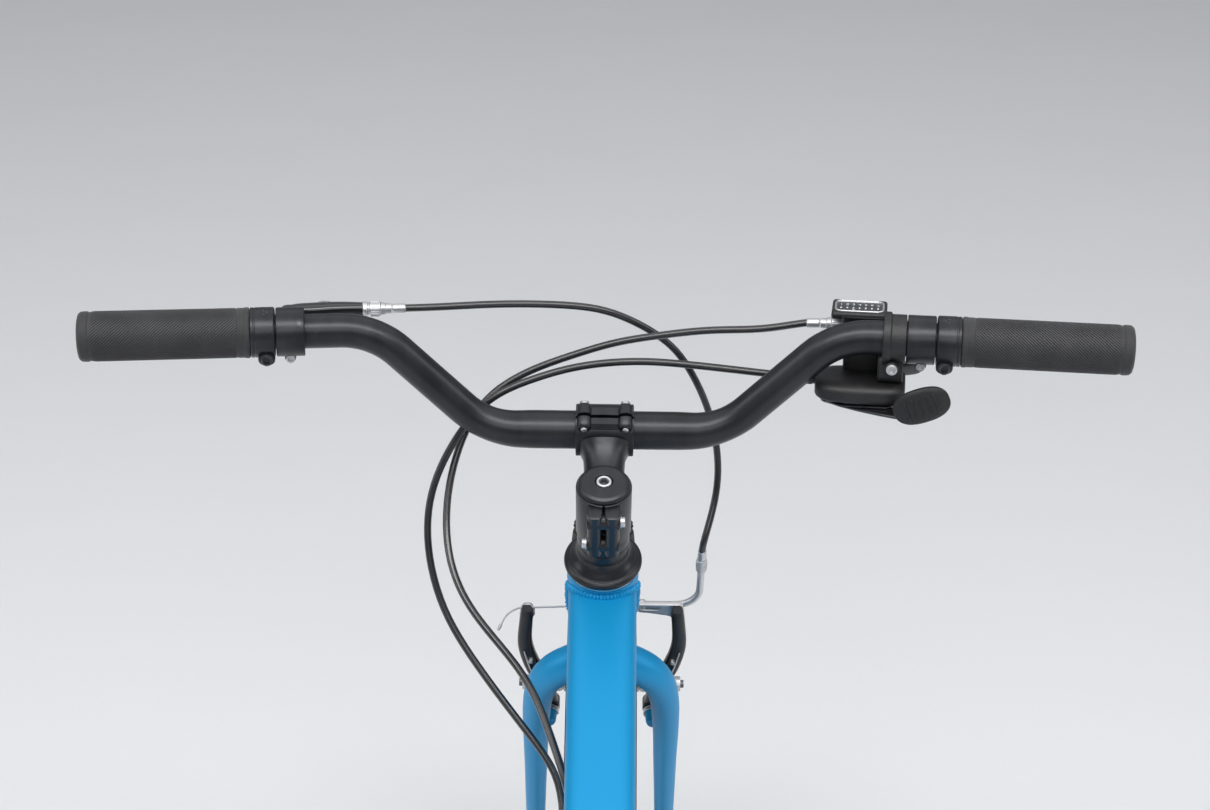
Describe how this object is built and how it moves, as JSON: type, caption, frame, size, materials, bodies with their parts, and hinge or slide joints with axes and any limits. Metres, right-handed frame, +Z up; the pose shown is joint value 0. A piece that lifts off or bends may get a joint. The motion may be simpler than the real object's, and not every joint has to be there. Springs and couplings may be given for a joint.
{
  "type": "kids mountain bike",
  "caption": "Kids mountain bike: welded frame, rigid fork, riser bar, rim brakes, trigger shifter and derailleur chain drive. It steers, rolls, pedals and brakes, and its saddle slides.",
  "frame": {"origin": "on the ground, midway between the two axles, at the middle of the object's box", "axes": "+Y forward, +X to the rider's right, +Z up"},
  "size_m": [0.67, 1.5674, 0.8709],
  "materials": {
    "blue_paint": "gloss royal blue enamel over steel",
    "black_anodised": "satin black",
    "black_plastic": "moulded, fine grain",
    "black_rubber": "matt, knurled on the grips",
    "tyre_rubber": "matt with raised knobs",
    "bright_steel": "bright zinc plate",
    "dark_steel": "oiled dark steel"
  },
  "bodies": {
    "frame": {"frame": "blue_paint", "headset_upper_cup": "bright_steel", "seat_clamp": "black_anodised", "rear_axle": "dark_steel", "chain": "dark_steel", "rear_brake_wire": "bright_steel"},
    "seat": {"seatpost": "black_anodised", "saddle_rails": "dark_steel", "saddle_base": "black_plastic", "saddle_pad": "black_rubber"},
    "steering": {"fork": "blue_paint", "headset_cover": "black_anodised", "steerer_spacers": "black_anodised", "stem": "black_anodised", "stem_faceplate": "black_anodised", "top_cap": "black_anodised", "top_cap_bolt": "bright_steel", "handlebar": "black_anodised", "grip_left": "black_rubber", "grip_right": "black_rubber", "grip_clamp_left": "black_anodised", "grip_clamp_right": "black_anodised", "lever_bracket_left": "black_anodised", "lever_bracket_right": "black_anodised", "shifter_body": "black_plastic", "front_axle": "dark_steel", "front_brake_housing": "black_plastic", "rear_brake_housing": "black_plastic", "shift_housing": "black_plastic", "front_brake_wire": "bright_steel"},
    "brake_lever_left": {"brake_lever_left": "black_anodised"},
    "brake_lever_right": {"brake_lever_right": "black_anodised"},
    "thumb_lever": {"shift_thumb_lever": "black_plastic"},
    "release_lever": {"shift_release_lever": "black_plastic"},
    "front_arm_left": {"front_brake_arm_left": "black_anodised", "front_brake_pad_left": "black_rubber"},
    "front_arm_right": {"front_brake_arm_right": "black_anodised", "front_brake_pad_right": "black_rubber", "front_brake_noodle": "bright_steel"},
    "rear_arm_left": {"rear_brake_arm_left": "black_anodised", "rear_brake_pad_left": "black_rubber", "rear_brake_noodle": "bright_steel"},
    "rear_arm_right": {"rear_brake_arm_right": "black_anodised", "rear_brake_pad_right": "black_rubber"},
    "front_wheel": {"front_tyre": "tyre_rubber", "front_rim": "black_anodised", "front_hub": "dark_steel"},
    "rear_wheel": {"rear_tyre": "tyre_rubber", "rear_rim": "black_anodised", "rear_hub": "dark_steel"},
    "cassette": {"cassette": "dark_steel"},
    "crank": {"crank_right": "black_anodised", "crank_left": "black_anodised", "chainring": "dark_steel"},
    "pedal_left": {"pedal_left": "black_plastic"},
    "pedal_right": {"pedal_right": "black_plastic"},
    "derailleur": {"derailleur_body": "black_anodised"},
    "derailleur_cage": {"derailleur_cage": "dark_steel"},
    "guide_pulley": {"guide_pulley": "black_plastic"},
    "tension_pulley": {"tension_pulley": "black_plastic"}
  },
  "joints": [
    {"name": "seat_height", "type": "slide", "parent": "frame", "child": "seat", "axis": [0, -0.2924, 0.9563], "range_m": [-0.04, 0.06]},
    {"name": "steer", "type": "hinge", "parent": "frame", "child": "steering", "pos_m": [0, 0.31429, 0.6165], "axis": [0, -0.3584, 0.9336], "range_deg": [-60, 60], "deforming": ["rear_brake_housing", "shift_housing"]},
    {"name": "brake_lever_left", "type": "hinge", "parent": "steering", "child": "brake_lever_left", "pos_m": [-0.18727, 0.34407, 0.84115], "axis": [0.0204, 0.0032, 0.9998], "range_deg": [0, 18], "stiffness_Nm_per_rad": 1.5, "springref_deg": -11.46},
    {"name": "brake_lever_right", "type": "hinge", "parent": "steering", "child": "brake_lever_right", "pos_m": [0.18702, 0.34156, 0.83437], "axis": [-0.007, -0.1747, -0.9846], "range_deg": [0, 18], "stiffness_Nm_per_rad": 1.5, "springref_deg": -11.46},
    {"name": "thumb_lever", "type": "hinge", "parent": "steering", "child": "thumb_lever", "pos_m": [0.15575, 0.31666, 0.80459], "axis": [-0.0204, 0.0032, 0.9998], "range_deg": [0, 22], "stiffness_Nm_per_rad": 0.4, "springref_deg": -11.46},
    {"name": "release_lever", "type": "hinge", "parent": "steering", "child": "release_lever", "pos_m": [0.17738, 0.33956, 0.81521], "axis": [-0.0204, 0.0032, 0.9998], "range_deg": [-9, 0], "stiffness_Nm_per_rad": 0.2, "springref_deg": 11.46},
    {"name": "front_brake_left", "type": "hinge", "parent": "steering", "child": "front_arm_left", "pos_m": [-0.04, 0.39643, 0.51413], "axis": [0, 0.9336, 0.3584], "range_deg": [0, 3.1], "deforming": ["front_brake_wire"]},
    {"name": "front_brake_right", "type": "hinge", "parent": "steering", "child": "front_arm_right", "pos_m": [0.04, 0.39643, 0.51413], "axis": [0, 0.9336, 0.3584], "range_deg": [-3.1, 0], "deforming": ["front_brake_housing", "front_brake_wire"]},
    {"name": "rear_brake_left", "type": "hinge", "parent": "frame", "child": "rear_arm_left", "pos_m": [-0.04, -0.31081, 0.45567], "axis": [0, -0.6189, 0.7855], "range_deg": [-3.1, 0], "deforming": ["rear_brake_housing", "rear_brake_wire"]},
    {"name": "rear_brake_right", "type": "hinge", "parent": "frame", "child": "rear_arm_right", "pos_m": [0.04, -0.31081, 0.45567], "axis": [0, -0.6189, 0.7855], "range_deg": [0, 3.1], "deforming": ["rear_brake_wire"]},
    {"name": "front_wheel", "type": "hinge", "parent": "steering", "child": "front_wheel", "pos_m": [0, 0.48, 0.302], "axis": [1, 0, 0], "continuous": true},
    {"name": "rear_wheel", "type": "hinge", "parent": "frame", "child": "rear_wheel", "pos_m": [0, -0.48, 0.302], "axis": [1, 0, 0], "continuous": true},
    {"name": "cassette", "type": "hinge", "parent": "frame", "child": "cassette", "pos_m": [0, -0.48, 0.302], "axis": [1, 0, 0], "continuous": true},
    {"name": "crank", "type": "hinge", "parent": "frame", "child": "crank", "pos_m": [0, -0.076, 0.275], "axis": [1, 0, 0], "continuous": true},
    {"name": "pedal_left", "type": "hinge", "parent": "crank", "child": "pedal_left", "pos_m": [-0.0715, -0.228, 0.275], "axis": [1, 0, 0], "continuous": true},
    {"name": "pedal_right", "type": "hinge", "parent": "crank", "child": "pedal_right", "pos_m": [0.0715, 0.076, 0.275], "axis": [1, 0, 0], "continuous": true},
    {"name": "derailleur_swing", "type": "hinge", "parent": "frame", "child": "derailleur", "pos_m": [0, -0.486, 0.274], "axis": [1, 0, 0], "range_deg": [-20, 0], "stiffness_Nm_per_rad": 4, "springref_deg": 17.19, "deforming": ["chain", "shift_housing"]},
    {"name": "cage_swing", "type": "hinge", "parent": "derailleur", "child": "derailleur_cage", "pos_m": [0.061, -0.468, 0.238], "axis": [1, 0, 0], "range_deg": [-25, 30], "stiffness_Nm_per_rad": 1, "deforming": ["chain"]},
    {"name": "guide_pulley", "type": "hinge", "parent": "derailleur_cage", "child": "guide_pulley", "pos_m": [0.0485, -0.47, 0.234], "axis": [1, 0, 0], "continuous": true},
    {"name": "tension_pulley", "type": "hinge", "parent": "derailleur_cage", "child": "tension_pulley", "pos_m": [0.0485, -0.448, 0.179], "axis": [1, 0, 0], "continuous": true}
  ],
  "couplings": [
    {"joint": "cassette", "follows": "crank", "ratio": 1.7778},
    {"joint": "guide_pulley", "follows": "crank", "ratio": -2.9091},
    {"joint": "tension_pulley", "follows": "crank", "ratio": 2.9091},
    {"joint": "front_brake_left", "follows": "brake_lever_left", "ratio": 0.1666},
    {"joint": "front_brake_right", "follows": "brake_lever_left", "ratio": -0.1666},
    {"joint": "rear_brake_left", "follows": "brake_lever_right", "ratio": -0.1666},
    {"joint": "rear_brake_right", "follows": "brake_lever_right", "ratio": 0.1666}
  ]
}
